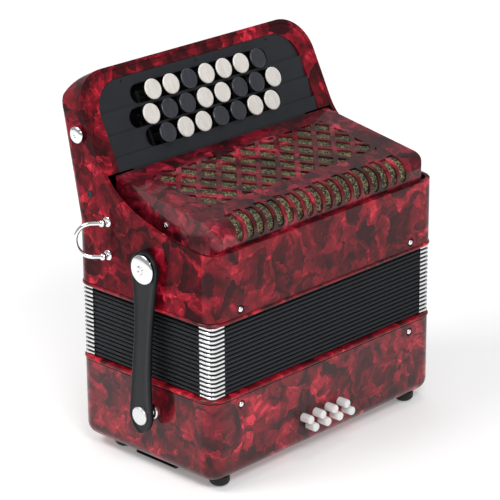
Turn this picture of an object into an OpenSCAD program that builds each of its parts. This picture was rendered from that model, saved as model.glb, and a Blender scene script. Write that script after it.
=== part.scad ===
// Two-and-a-half row button accordion standing on its bass end.
// X runs along the keyboard, -Y is the front (grille side), +Z runs from the bass end up to the treble end.
// The origin is on the surface that the feet rest on, under the middle of the whole outline.

/* [Case] */
// Width of both cases, along the keyboard
case_w = 240; // [230:1:260]
// Depth of both cases, front to back
case_d = 138; // [132:1:150]
// Radius of the upright corners
corner_r = 13; // [8:0.5:16]
// Thickness of the treble case walls
wall = 3.2; // [2.5:0.1:4]

/* [Bass end] */
// Height of the rubber feet
foot_h = 7.8; // [7:0.2:10]
// Height of the bass case
bass_h = 61.2; // [58:0.2:66]
// Radius of a foot
foot_r = 7.5; // [6:0.5:9]
// Radius of the bass case's bottom edge
bottom_r = 10; // [8:0.5:12]
// Thickness of the bass case walls
bass_wall = 8; // [7.5:0.5:9]

/* [Bellows] */
// Number of bellows folds
folds = 17; // [12:1:20]
// Height of one closed fold
fold_pitch = 3.24; // [3:0.02:3.6]
// Height of each bellows frame
frame_h = 2.6; // [2:0.1:4]
// Thickness of the gasket between frame and case
gasket_h = 0.5; // [0.4:0.1:1]

/* [Treble end] */
// Height of the treble case front
treble_h = 49.5; // [47:0.5:52]
// How far the keyboard leans back from upright, in degrees
board_tilt = 26.5; // [25:0.5:28]
// Slope of the grille's top, rise over run
grille_slope = 0.17; // [0.15:0.01:0.19]
// Radius of the grille's front edge
grille_r = 13; // [10:0.5:14]

/* [Buttons] */
// Distance between neighbouring buttons of a row
key_pitch = 18.15; // [18:0.05:18.4]
// Radius of a treble button
button_r = 7.6; // [7:0.1:7.8]
// How far the treble button tops stand above the keyboard
button_top = 6.3; // [6:0.1:7]
// Thickness of a treble button
button_t = 1.3; // [1:0.1:2]
// Radius of a bass button
bass_button_r = 3.25; // [2.8:0.05:3.3]
// Travel of the bass buttons
bass_travel = 3; // [2:0.5:3.5]

/* [Hidden] */
$fn = 64;
half_w = case_w / 2;
half_d = case_d / 2;

// Heights of the four seams
bass_top = foot_h + bass_h;
seam_h = frame_h + gasket_h;
folds_z0 = bass_top + seam_h;
folds_z1 = folds_z0 + folds * fold_pitch;
treble_z = folds_z1 + seam_h;
treble_top = treble_z + treble_h;

// The keyboard's own frame: its foot, and its length up the slope
board_y = 35.6;
board_z = treble_top + 34.4;
board_len = 74.6;
board_outer_r = 29;
border_len = 72.6;
border_half_w = half_w - wall - 0.4;
border_r = 26;
panel_half_w = 104;
panel_len = 64.8;
panel_r = 25;
panel_back = 5.5;
lip_half_w = 90;
// Lower edge of each step and of each row's slot, from the top row down
step_s = [43.2, 26.6, 10.7];
slot_w = 14.3;
slot_half_len = [70.5, 79, 70];

// Treble keys: rows from the top down
row_s = [50, 33.3, 17];
row_count = [7, 8, 7];
lane_x = [-4, 0, 4];
pallet_y = [-52, -31, -9.6];
press_deg = [2.5, 3.35, 4.9];
row_start = [0, 7, 15];
key_total = 22;
white_keys = [1, 1, 0, 1, 1, 1, 0, 1, 0, 0, 1, 1, 0, 0, 1, 0, 1, 1, 0, 0, 1, 1];
lever_t = 2;
arm_depth = 11;
axle_s = -18;
axle_r = 1.5;
hub_r = 5;
axle_y = board_y + axle_s * sin(board_tilt) + arm_depth * cos(board_tilt);
axle_z = board_z + axle_s * cos(board_tilt) - arm_depth * sin(board_tilt);
sound_z = treble_top - 11.8;
sound_t = 4;
pallet_z = sound_z + sound_t;

// Rear wall of the treble case: upright, then leaning back behind the keyboard, then round
lean_z = treble_top - 4;
lean_deg = 11.3;
rear_r = 18;

// Grille
grille_half_w = half_w - 9.5;
grille_front = half_d - 4.2;
grille_t = 1.4;
grille_corner_r = 6;
flange_t = 1.4;
grille_rear = 33.9;
grille_low = treble_top - 5;
grille_top = board_z + grille_slope * (grille_rear - board_y) + 0.1;
lattice_pitch = 14.3;
lattice_hole = 10.6;
lattice_half = [88.6, 28.4];
lattice_mid_y = -9;
slot_count = 18;
slot_pitch = 10.14;
grille_slot_w = 6.8;

// Bass buttons: two staggered rows
bass_pitch = 13.1;
bass_row_x = [-7, -1.5];
bass_row_z = [bass_top - 37.6, bass_top - 45.2];
bass_out = 8;
valve_y = -46;
valve_t = 3;
pan_z = bass_top - 19;
pan_t = 4;

// Side fittings, the same on both sides
ring_y = 34;
ring_z = treble_z + 39;
ring_half = 12.55;
ring_reach = 7;
ring_wire = 1.7;
ring_off = 4.5;
ring_swing = 46;
stud_y = 60.8;
stud_z = board_z + 26.8;
stud_neck = 1.6;
stud_head = 2.4;
plug_y = 50.7;
plug_z = board_z - 15.4;
root_depth = 1.5;
strap_y = -8.5;
strap_z = treble_z + 28.4;
snap_z = bass_top - 20;
strap_t = 4;
strap_off = 2.8;
strap_bow = 6.2;
shaft_r = 3;
base_r = 6;
disc_x = half_w + strap_off + strap_t + 0.3;

// Bellows: how far the ridges and the corner caps stay inside the case's outline
ridge_in = 2.9;
ridge_r = 4.5;
cap_t = 0.6;
cap_reach = 14.8;

// Bellows pins, and the grille's side screw as [y, z]
pin_x = 91;
grille_screw = [-16.1, treble_top + 9.1];
pin_drop = 6.1;

// Floor of the bass case, and the screws of its cover
floor_t = 7;
cover_screws = [for (x = [-84, 0, 84], y = [-50, 50]) [x, y]];

// Air button, on the back near the thumb
air_x = 84;
air_z = bass_top - 30;

// Hand strap
strap_half = 110;
strap_w = 38;
strap_dip = 3.6;

// ---------- Helpers ----------

// Points of an arc, from angle a to angle b
function arc_points(c, r, a, b, n) =
    [for (i = [0:n]) c + r * [cos(a + (b - a) * i / n), sin(a + (b - a) * i / n)]];

// A point on a curve that leaves a towards b and arrives at c from b
function bend(a, b, c, t) = (1 - t) * (1 - t) * a + 2 * t * (1 - t) * b + t * t * c;

// A point of the keyboard's own frame, as [y, z]
function board_point(s, depth) =
    [board_y + s * sin(board_tilt) + depth * cos(board_tilt),
     board_z + s * cos(board_tilt) - depth * sin(board_tilt)];

// Middle of the round top rear edge: rear_r below the top and rear_r inside the leaning wall
lean_in = [-cos(lean_deg), sin(lean_deg)];
board_in = board_point(0, 1) - board_point(0, 0);
rear_low = board_point(board_len - rear_r, 0) - [half_d, lean_z];
rear_mid = board_point(board_len - rear_r, (rear_r - rear_low * lean_in) / (board_in * lean_in));

// Moves the case so that the origin is under the middle of the whole outline
case_y = (half_d + bass_out - rear_mid[0] - rear_r) / 2;
module seat() {
    translate([0, case_y, 0]) children();
}

// Round top rear edge, t inside the outer surface, then down behind the leaning wall
function rear_outline(t) = concat(
    arc_points(rear_mid - 0.1 * lean_in, rear_r - t, 90 - board_tilt, -lean_deg, 10),
    [[half_d + 3, lean_z], [half_d + 3, treble_z - t]]);

// Upright box with rounded corners, from z0 to z1
module round_box(half_x, half_y, r, z0, z1) {
    translate([-half_x + r, -half_y, z0]) cube([2 * (half_x - r), 2 * half_y, z1 - z0]);
    translate([-half_x, -half_y + r, z0]) cube([2 * half_x, 2 * (half_y - r), z1 - z0]);
    for (x = [-half_x + r, half_x - r], y = [-half_y + r, half_y - r])
        translate([x, y, z0]) cylinder(r = r, h = z1 - z0);
}

module round_ring(half_x, half_y, r, band, z0, z1) {
    difference() {
        round_box(half_x, half_y, r, z0, z1);
        round_box(half_x - band, half_y - band, max(r - band, 1), z0 - 1, z1 + 1);
    }
}

// Extrudes a [y, z] outline along X, both ways from the middle
module along_x(half_x) {
    translate([-half_x, 0, 0]) rotate([90, 0, 90]) linear_extrude(height = 2 * half_x) children();
}

// Extrudes an [x, z] outline along Y, both ways from the middle
module along_y(half_y) {
    translate([0, half_y, 0]) rotate([90, 0, 0]) linear_extrude(height = 2 * half_y) children();
}

// Places children in the keyboard's own frame: Z up the slope, +Y into the board
module on_board() {
    translate([0, board_y, board_z]) rotate([-board_tilt, 0, 0]) children();
}

// Slab of the keyboard's frame with two round top corners, from depth y0 to y1
module board_slab(half_x, s0, s1, r, y0, y1) {
    translate([-half_x, y0, s0]) cube([2 * half_x, y1 - y0, s1 - r - s0]);
    translate([-half_x + r, y0, s0]) cube([2 * (half_x - r), y1 - y0, s1 - s0]);
    for (x = [-half_x + r, half_x - r])
        translate([x, y0, s1 - r]) rotate([-90, 0, 0]) cylinder(r = r, h = y1 - y0);
}

module x_rod(x0, x1, y, z, r) {
    translate([x0, y, z]) rotate([0, 90, 0]) cylinder(r = r, h = x1 - x0);
}

module y_rod(x, y0, y1, z, r) {
    translate([x, y0, z]) rotate([-90, 0, 0]) cylinder(r = r, h = y1 - y0);
}

// ---------- Treble case ----------

// Front edge of the cheeks, from the case front up to the keyboard
function cheek_edge() =
    [for (i = [0:14]) bend([-half_d + 1, treble_top - 0.5], [21.4, treble_top + 5.6],
                           board_point(6, 0), i / 14)];

module side_outline() {
    polygon(concat([[-half_d, treble_z], [-half_d, treble_top - 0.5]], cheek_edge(),
                   [board_point(board_len, 0)], rear_outline(0)));
}

// The hollow inside the walls, together with everything in front of the keyboard
module open_front() {
    polygon(concat([[-half_d + 4, treble_z - wall], [-half_d + 4, 400], board_point(120, -60)],
                   [board_point(board_len - wall, -60)], rear_outline(wall)));
}

// Upright prism with corners of n flat facets
module facet_box(half_x, half_y, r, n, z0, z1) {
    translate([0, 0, z0]) linear_extrude(height = z1 - z0) polygon([
        for (q = [0:3], p = arc_points([(q == 0 || q == 3 ? 1 : -1) * (half_x - r),
                                        (q < 2 ? 1 : -1) * (half_y - r)], r, 90 * q, 90 * q + 90, n)) p]);
}

// Rounds the upright corners, also along the leaning rear; t is the depth inside the walls
module case_rounding(t) {
    facet_box(half_w - t, half_d - t, corner_r - t, 6, treble_z - 5, treble_top + 12);
    translate([0, half_d, lean_z]) rotate([-lean_deg, 0, 0]) translate([0, -half_d, 0])
        facet_box(half_w - t, half_d - t, corner_r - t, 7, -20, 125);
}

module treble_case() {
    color("firebrick") difference() {
        intersection() {
            along_x(half_w + 2) side_outline();
            on_board() board_slab(half_w, -150, board_len, board_outer_r, -120, 140);
            case_rounding(0);
        }
        intersection() {
            along_x(half_w + 2) open_front();
            on_board() board_slab(half_w - wall, -150, board_len - wall,
                                  board_outer_r - wall, -160, 140);
            case_rounding(wall);
        }
        for (x = [-pin_x, pin_x], y = [-half_d - 1, half_d - 2])
            y_rod(x, y, y + 3, treble_z + pin_drop - 1.6, 3.2);
        for (side = [0, 1]) mirror([side, 0, 0]) fitting_roots(0.05);
    }
}

// Bellows pins, side screws of the grille and the small screws of the keyboard panel
module treble_screws() {
    color("silver") {
        for (x = [-pin_x, pin_x], side = [-1, 1])
            mirror([0, side > 0 ? 1 : 0, 0])
                y_rod(x, -half_d - 0.4, -half_d + 2, treble_z + pin_drop - 1.6, 2.2);
        for (side = [0, 1]) mirror([side, 0, 0]) {
            x_rod(grille_half_w - 4, grille_half_w + 0.2, grille_screw[0], grille_screw[1], 1.2);
            x_rod(grille_half_w, grille_half_w + 0.9, grille_screw[0], grille_screw[1], 2.4);
        }
        on_board() for (x = [-75, 0, 75]) y_rod(x, -0.3, 1.5, panel_len - 2.4, 0.85);
    }
}

// ---------- Keyboard ----------

module keyboard_border() {
    color("firebrick") on_board() difference() {
        board_slab(border_half_w, 0.3, border_len - 1.6, border_r, 0, 7.5);
        board_slab(panel_half_w + 0.2, -1, panel_len + 0.2, panel_r, -1, 8.5);
        translate([-border_half_w - 1, -1, -6]) cube([2 * border_half_w + 2, 10, 6.3]);
    }
}

// Stepped outline of the panel: each band slopes inwards down to its step
module panel_outline() {
    polygon([[0.3, panel_len], [2.2, step_s[0]], [0.3, step_s[0]], [2.2, step_s[1]],
             [0.3, step_s[1]], [2.2, step_s[2]], [0.3, step_s[2]], [1.4, 0.4],
             [panel_back, 0.4], [panel_back, panel_len]]);
}

module keyboard_panel() {
    color("dimgray") on_board() difference() {
        union() {
            intersection() {
                along_x(panel_half_w) panel_outline();
                board_slab(panel_half_w, -1, panel_len, panel_r, -1, 8);
            }
            translate([-lip_half_w, 2, -6]) cube([2 * lip_half_w, 3, 7]);
        }
        for (row = [0:2]) {
            end_x = slot_half_len[row] - slot_w / 2;
            mid_s = step_s[row] + slot_w / 2;
            translate([-end_x, -1, mid_s - slot_w / 2]) cube([2 * end_x, 8, slot_w]);
            for (x = [-end_x, end_x]) y_rod(x, -1, 7, mid_s, slot_w / 2);
        }
        for (x = [-75, 0, 75]) y_rod(x, -1, 1.5, panel_len - 2.4, 0.9);
    }
}

// ---------- Treble keys ----------

function key_row(i) = i < row_start[1] ? 0 : (i < row_start[2] ? 1 : 2);
function key_x(i) =
    (i - row_start[key_row(i)] - (row_count[key_row(i)] - 1) / 2) * key_pitch;

module button_cap() {
    rotate([90, 0, 0]) {
        translate([0, 0, button_top - button_t]) cylinder(r = button_r, h = button_t - 0.6);
        translate([0, 0, button_top - button_t]) cylinder(r = button_r - 0.8, h = button_t);
    }
}

// Bent lever, as [y, z]: hub on the axle, arm up to the button, bar and leg down to the pallet
module lever_outline(s_top, py) {
    translate([axle_y, axle_z]) circle(r = hub_r);
    polygon([board_point(axle_s + 1, arm_depth - 2.5), board_point(s_top, arm_depth - 2.5),
             board_point(s_top, arm_depth + 2.5), board_point(axle_s + 1, arm_depth + 2.5)]);
    polygon([[axle_y + 1, axle_z - 4], [axle_y - 4, axle_z - 1], [axle_y - 15, pallet_z + 15.5],
             [py - 3, pallet_z + 15.5], [py - 3, pallet_z + 5], [py + 3, pallet_z + 5],
             [py + 3, pallet_z + 11.5], [axle_y - 13, pallet_z + 11.5]]);
}

// One key: button, stem, bent lever with its hub, and the pallet that it lifts
module treble_key(i) {
    row = key_row(i);
    x = key_x(i);
    lane = x + lane_x[row];
    py = pallet_y[row];
    color(white_keys[i] == 1 ? "ivory" : "black") {
        on_board() {
            translate([x, 0, row_s[row]]) button_cap();
            y_rod(x, 0.4 - button_top, arm_depth - 0.7, row_s[row], 2);
            translate([min(x, lane) - 1.4, arm_depth - 2.8, row_s[row] - 2.6])
                cube([abs(x - lane) + 2.8, 4.2, 5.2]);
        }
        translate([lane, 0, 0]) along_x(lever_t / 2) difference() {
            lever_outline(row_s[row] + 3, py);
            translate([axle_y, axle_z]) circle(r = axle_r + 0.05);
        }
        translate([lane - 6.5, py - 8, pallet_z + 2]) cube([13, 16, 4]);
        translate([lane - 6, py - 7.5, pallet_z]) cube([12, 15, 2.5]);
    }
}

module key_axle() {
    color("silver") x_rod(-76, 76, axle_y, axle_z, axle_r);
}

module axle_posts() {
    color("tan") for (k = [-3:3]) {
        x = k * key_pitch;
        difference() {
            translate([x - 1, axle_y - 4, pallet_z]) cube([2, 8, axle_z - pallet_z + 4]);
            x_rod(x - 2, x + 2, axle_y, axle_z, axle_r + 0.01);
        }
    }
    color("tan") for (side = [-1, 1]) difference() {
        translate([side * 74 - 1, axle_y - 4, pallet_z]) cube([2, 8, axle_z - pallet_z + 4]);
        x_rod(side * 74 - 2, side * 74 + 2, axle_y, axle_z, axle_r + 0.01);
    }
}

module treble_soundboard() {
    color("burlywood") difference() {
        round_box(half_w - wall - 0.2, half_d - 4, corner_r - wall, sound_z, pallet_z);
        for (i = [0:key_total - 1])
            translate([key_x(i) + lane_x[key_row(i)] - 4.5, pallet_y[key_row(i)] - 5.5, sound_z - 1])
                cube([9, 11, sound_t + 2]);
    }
}

// Wooden blocks with a metal reed plate on each side
module reed_block(half_x, y, z0, z1) {
    translate([-half_x, y - 7, z0]) cube([2 * half_x, 14, z1 - z0]);
    for (side = [-1, 1], k = [-3:3])
        translate([k * half_x / 3.6 - 9, y + side * 7.75 - 0.75, z0 + 2]) cube([18, 1.5, z1 - z0 - 4]);
}

module treble_reed_blocks() {
    color("burlywood") for (y = pallet_y) reed_block(88, y, sound_z - 32, sound_z);
}

// ---------- Grille ----------

// Side outline of the grille, or, with t, of the space inside it
module grille_outline(t) {
    slope_deg = atan(grille_slope);
    r = grille_r - t;
    cy = -grille_front + grille_r;
    cz = grille_top - grille_slope * (grille_rear - cy) - grille_r / cos(slope_deg);
    low = grille_low;
    polygon(concat([[grille_rear + (t > 0 ? 5 : 0), low - t], [cy - r, low - t]],
                   arc_points([cy, cz], r, 180, 90 + slope_deg, 10),
                   [[grille_rear + (t > 0 ? 5 : 0),
                     grille_top - t / cos(slope_deg) + (t > 0 ? 5 : 0) * grille_slope]]));
}

module grille_block(t) {
    half_x = grille_half_w - t;
    intersection() {
        along_x(half_x) grille_outline(t);
        union() {
            round_box(half_x, grille_front - t, grille_corner_r - t, 100, 260);
            translate([-half_x, 0, 100]) cube([2 * half_x, 60, 160]);
        }
    }
}

// Flange round the foot of the grille, which fills the gap between the cheeks
module grille_flange() {
    intersection() {
        round_box(border_half_w, grille_front, corner_r - 4, grille_low, grille_low + flange_t);
        translate([-half_w, -half_d, 0]) cube([case_w, half_d + grille_rear, 300]);
    }
}

module lattice_holes() {
    step = lattice_pitch / sqrt(2);
    intersection() {
        union() for (row = [-3:3], col = [-9:9])
            if ((row + col) % 2 == 0)
                translate([col * step, lattice_mid_y + row * step, treble_top + 5]) rotate([0, 0, 45])
                    translate([-lattice_hole / 2, -lattice_hole / 2, 0])
                        cube([lattice_hole, lattice_hole, 60]);
        translate([-lattice_half[0], lattice_mid_y - lattice_half[1], treble_top])
            cube([2 * lattice_half[0], 2 * lattice_half[1], 90]);
    }
}

// Slots that wrap over the front edge; every second one starts further back
module front_slots() {
    low = treble_top + 2.7;
    for (k = [0:slot_count - 1]) {
        x = (k - (slot_count - 1) / 2) * slot_pitch;
        back = (k % 2 == 1) ? 15 : 13;
        translate([x - grille_slot_w / 2, -grille_front - 2, low + grille_slot_w / 2])
            cube([grille_slot_w, back + 2, 40]);
        y_rod(x, -grille_front - 2, -grille_front + 6, low + grille_slot_w / 2, grille_slot_w / 2);
    }
}

module treble_grille() {
    color("firebrick") difference() {
        union() {
            grille_block(0);
            grille_flange();
        }
        grille_block(grille_t);
        lattice_holes();
        front_slots();
        x_rod(-half_w, half_w, grille_screw[0], grille_screw[1], 1.25);
    }
}

module grille_cloth() {
    color("darkolivegreen") difference() {
        intersection() {
            grille_block(grille_t + 0.1);
            translate([-94, -half_d, treble_top + 1]) cube([188, half_d + 22, 60]);
        }
        grille_block(grille_t + 0.8);
    }
}

// ---------- Bellows ----------

module bellows_frame(z0, z1, gasket_z0) {
    round_ring(half_w + 0.8, half_d + 0.8, corner_r + 0.8, 13, z0, z1);
    round_ring(half_w - 1, half_d - 1, corner_r - 1, 10, gasket_z0, gasket_z0 + gasket_h);
}

module bass_bellows_frame() {
    color("firebrick") bellows_frame(bass_top + gasket_h, folds_z0, bass_top);
}

module treble_bellows_frame() {
    color("firebrick") bellows_frame(folds_z1, treble_z - gasket_h, treble_z - gasket_h);
}

module bellows_folds() {
    color("black") difference() {
        union() {
            round_box(half_w - ridge_in - 1.7, half_d - ridge_in - 1.7, ridge_r - 1,
                      folds_z0, folds_z1);
            for (k = [0:folds - 1])
                round_box(half_w - ridge_in, half_d - ridge_in, ridge_r,
                          folds_z0 + (k + 0.2) * fold_pitch, folds_z0 + (k + 0.8) * fold_pitch);
        }
        round_box(half_w - 14, half_d - 14, 4, folds_z0 - 1, folds_z1 + 1);
    }
}

module bellows_corners() {
    color("silver") for (k = [0:folds - 1]) difference() {
        z0 = folds_z0 + (k + 0.15) * fold_pitch;
        z1 = z0 + 0.7 * fold_pitch;
        round_box(half_w - ridge_in + cap_t, half_d - ridge_in + cap_t, ridge_r + cap_t, z0, z1);
        round_box(half_w - ridge_in, half_d - ridge_in, ridge_r, z0 - 1, z1 + 1);
        translate([-half_w + cap_reach, -half_d, z0 - 1]) cube([case_w - 2 * cap_reach, case_d, 5]);
        translate([-half_w, -half_d + cap_reach, z0 - 1]) cube([case_w, case_d - 2 * cap_reach, 5]);
    }
}

// ---------- Bass end ----------

// Bottom edge and side of the bass case, as [x, z], with the side at x
function bass_edge(x) = concat(
    arc_points([x - bottom_r, foot_h + bottom_r], bottom_r, 270, 360, 8), [[x, bass_top]]);

module bass_outline(half) {
    edge = bass_edge(half);
    polygon(concat(edge, [for (i = [len(edge) - 1:-1:0]) [-edge[i][0], edge[i][1]]]));
}

// Solid bass case: two crossed extrusions and four turned corners
module bass_block() {
    along_y(half_d - corner_r) bass_outline(half_w);
    along_x(half_w - corner_r) bass_outline(half_d);
    for (x = [-half_w + corner_r, half_w - corner_r], y = [-half_d + corner_r, half_d - corner_r])
        translate([x, y, 0]) rotate_extrude()
            polygon(concat([[0, bass_top], [0, foot_h]], bass_edge(corner_r)));
}

module bass_case() {
    color("firebrick") difference() {
        bass_block();
        round_box(half_w - bass_wall, half_d - bass_wall, 6, foot_h + floor_t, bass_top + 1);
        round_box(half_w - 14.7, half_d - 13.7, 8, 0, foot_h + 3.2);
        round_box(half_w - 24, half_d - 23, 5, foot_h, foot_h + floor_t + 1);
        for (p = cover_screws) translate([p[0], p[1], foot_h]) cylinder(r = 1.65, h = 6.5);
        for (x = [-pin_x, pin_x], y = [-half_d - 1, half_d - 2])
            y_rod(x, y, y + 3, bass_top - pin_drop, 3.2);
        for (i = [0:7]) y_rod(bass_x(i), -half_d - 1, -half_d + 10, bass_z(i), bass_button_r + 0.35);
        y_rod(air_x, half_d - 10, half_d + 1, air_z, 5.4);
        for (side = [0, 1]) mirror([side, 0, 0]) snap_base(0.05);
    }
}

module bass_frame_pins() {
    color("silver") for (x = [-pin_x, pin_x], side = [-1, 1])
        mirror([0, side > 0 ? 1 : 0, 0])
            y_rod(x, -half_d - 0.4, -half_d + 2, bass_top - pin_drop, 2.2);
}

module bass_end_cover() {
    color("firebrick") difference() {
        round_box(half_w - 15, half_d - 14, 8, foot_h, foot_h + 3);
        for (p = cover_screws) translate([p[0], p[1], foot_h - 1]) cylinder(r = 1.7, h = 6);
    }
}

module end_cover_screws() {
    color("silver") for (p = cover_screws) {
        translate([p[0], p[1], foot_h - 1.2]) cylinder(r = 3, h = 1.2);
        translate([p[0], p[1], foot_h - 1.2]) cylinder(r = 1.6, h = 7.4);
    }
}

module rubber_feet() {
    color("black") for (x = [-101, 101], y = [-56, 42]) {
        translate([x, y, 0]) cylinder(r1 = foot_r - 1.5, r2 = foot_r, h = 1.5);
        translate([x, y, 1.5]) cylinder(r = foot_r, h = foot_h - 1.5);
    }
}

module bass_soundboard() {
    inner_x = half_w - bass_wall - 0.1;
    inner_y = half_d - bass_wall - 0.1;
    color("burlywood") difference() {
        intersection() {
            round_box(inner_x, inner_y, 5.9, foot_h + floor_t, pan_z + pan_t);
            union() {
                translate([-half_w, valve_y, pan_z]) cube([case_w, half_d - valve_y, pan_t + 1]);
                translate([-half_w, valve_y, foot_h]) cube([case_w, valve_t, pan_z - foot_h + 0.5]);
            }
        }
        for (i = [0:7]) y_rod(bass_x(i), valve_y - 1, valve_y + valve_t + 1, bass_z(i), 2.8);
        for (y = [-14, 28], k = [-3:3])
            translate([k * 26 - 8, y - 3, pan_z - 1]) cube([16, 6, pan_t + 2]);
        translate([air_x - 9, 36, pan_z - 1]) cube([18, 18, pan_t + 2]);
    }
}

module bass_reed_blocks() {
    color("burlywood") for (y = [-14, 28]) reed_block(92, y, pan_z + pan_t, pan_z + pan_t + 30);
}

function bass_x(i) = bass_row_x[i < 4 ? 0 : 1] + ((i % 4) - 1.5) * bass_pitch;
function bass_z(i) = bass_row_z[i < 4 ? 0 : 1];

// One bass button with its push rod and the pallet that it lifts off the valve board
module bass_button(i) {
    seat = valve_y + valve_t + 0.05;
    color("ivory") {
        y_rod(bass_x(i), -half_d - bass_out, -half_d - bass_out + 1, bass_z(i), bass_button_r - 0.4);
        y_rod(bass_x(i), -half_d - bass_out + 0.6, -half_d + 7, bass_z(i), bass_button_r);
        y_rod(bass_x(i), -half_d + 6, seat + 3, bass_z(i), 1.4);
        y_rod(bass_x(i), seat, seat + 3, bass_z(i), 4.2);
    }
}

// Air button with its rod and valve disc
module air_valve() {
    color("ivory") {
        y_rod(air_x, half_d - 4, half_d + 4.5, air_z, 5);
        y_rod(air_x, half_d - 20, half_d - 3, air_z, 2);
        y_rod(air_x, half_d - bass_wall - 3.05, half_d - bass_wall - 0.05, air_z, 9);
    }
}

// ---------- Hand strap ----------

// Height of the strap's middle at x: level at the ends, lowest half-way
function strap_mid(x) = foot_h - 2.2 - strap_dip * pow(cos(90 * x / strap_half), 2);

module hand_strap() {
    n = 24;
    color("black") along_y(strap_w / 2) polygon(concat(
        [for (i = [0:n]) let (x = -strap_half + 2 + (2 * strap_half - 4) * i / n)
            [x, strap_mid(x) + 1]],
        [for (i = [n:-1:0]) let (x = -strap_half + 2 + (2 * strap_half - 4) * i / n)
            [x, strap_mid(x) - 1]]));
}

module hand_strap_brackets() {
    color("black") for (side = [-1, 1]) {
        translate([side * (strap_half - 7) - 7, -20.5, foot_h - 1.2]) cube([14, 41, 1.2]);
        translate([side * (strap_half - 7) - 7, -20.5, foot_h - 4.7]) cube([14, 41, 1.1]);
        for (y = [-20.5, 19.3])
            translate([side * (strap_half - 7) - 7, y, foot_h - 4.7]) cube([14, 1.2, 4.7]);
    }
}

// ---------- Side straps, studs and rings ----------

// Base of a snap stud, sunk into the bass case; gap is the clearance around it
module snap_base(gap) {
    x_rod(half_w - root_depth - gap, half_w + 2, strap_y, snap_z, base_r + gap);
}

module snap_studs() {
    color("silver") for (side = [0, 1]) mirror([side, 0, 0]) {
        snap_base(0);
        x_rod(half_w, half_w + strap_off + strap_bow - 0.5, strap_y, snap_z, 3.2);
    }
}

function strap_half_w(t) = 8.3 + (t < 0.5 ? 4.7 : 2.9) * pow(2 * t - 1, 2);
function strap_rise(z) =
    let (t = min(max((strap_z - z) / (strap_z - snap_z), 0), 1)) strap_bow * (1 - cos(180 * t)) / 2;

// A moulded strap on the right side; the left one is its mirror image
module bellows_strap() {
    n = 16;
    span = strap_z - snap_z;
    color("black") difference() {
        intersection() {
            translate([half_w + 14, 0, 0]) along_x(14) union() {
                polygon(concat(
                    [for (i = [0:n]) [strap_y - strap_half_w(i / n), strap_z - span * i / n]],
                    [[strap_y - 6, snap_z - 10], [strap_y, snap_z - 13.5], [strap_y + 6, snap_z - 10]],
                    [for (i = [n:-1:0]) [strap_y + strap_half_w(i / n), strap_z - span * i / n]]));
                translate([strap_y, strap_z]) circle(r = 13);
            }
            along_y(60) polygon(concat(
                [for (i = [-2:n + 2]) let (z = strap_z - span * i / n)
                    [half_w + strap_off + strap_rise(z), z]],
                [for (i = [n + 2:-1:-2]) let (z = strap_z - span * i / n)
                    [half_w + strap_off + strap_t + strap_rise(z), z]]));
        }
        x_rod(half_w, half_w + 12, strap_y, strap_z, shaft_r + 0.05);
    }
    color("silver")
        x_rod(half_w + strap_off + strap_bow + strap_t - 0.4,
              half_w + strap_off + strap_bow + strap_t + 1.6, strap_y, snap_z, 7);
}

module right_bellows_strap() { bellows_strap(); }
module left_bellows_strap() { mirror([1, 0, 0]) bellows_strap(); }

// A U-shaped ring with an eye at each end, turned to stand at the angle a
module side_ring(side, a) {
    color("silver") translate([side * (half_w + ring_off), ring_y, ring_z]) rotate([0, 0, a]) {
        for (end = [-1, 1]) difference() {
            union() {
                translate([0, 0, end * ring_half - 1.6]) cylinder(r = 2.6, h = 3.2);
                x_rod(1, ring_reach, 0, end * ring_half, 1.6);
            }
            translate([0, 0, end * ring_half - 3]) cylinder(r = 1.05, h = 6);
        }
        translate([ring_reach, 0, 0]) rotate([90, 0, 0]) rotate([0, 0, -90])
            rotate_extrude(angle = 180) translate([ring_half, 0]) circle(r = ring_wire);
    }
}

module right_ring() { side_ring(1, ring_swing); }
module left_ring() { side_ring(-1, 180 - ring_swing); }

// Roots of the side fittings, sunk into the cheek; gap is the clearance around them
module fitting_roots(gap) {
    x0 = half_w - root_depth - gap;
    x_rod(x0, half_w + stud_neck, stud_y, stud_z, 3.5 + gap);
    x_rod(x0, half_w + 0.8, plug_y, plug_z, 2.8 + gap);
    x_rod(x0, half_w + strap_off - 0.3, strap_y, strap_z, base_r + gap);
    for (end = [-1, 1], z = [-3.4, 1.9])
        translate([x0, ring_y - 1.7 - gap, ring_z + end * ring_half + z - gap])
            cube([half_w + ring_off - x0, 3.4 + 2 * gap, 1.5 + 2 * gap]);
}

// Shoulder strap studs, ring lugs with their pins, and the pivots of the bellows straps
module strap_fittings() {
    color("silver") for (side = [0, 1]) mirror([side, 0, 0]) {
        fitting_roots(0);
        x_rod(half_w + stud_neck, half_w + stud_neck + stud_head, stud_y, stud_z, 6.2);
        for (end = [-1, 1]) translate([half_w + ring_off, ring_y, ring_z + end * ring_half]) {
            translate([0, 0, -3.4]) cylinder(r = 1, h = 6.8);
            for (z = [-3.4, 1.9]) translate([0, 0, z]) cylinder(r = 1.7, h = 1.5);
        }
        x_rod(half_w, disc_x + 0.5, strap_y, strap_z, shaft_r);
        x_rod(disc_x, disc_x + 1.4, strap_y, strap_z, 10.8);
        x_rod(disc_x + 1.4, disc_x + 2.6, strap_y, strap_z, 8);
        x_rod(disc_x + 2.6, disc_x + 3.6, strap_y, strap_z, 2.6);
    }
}

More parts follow.
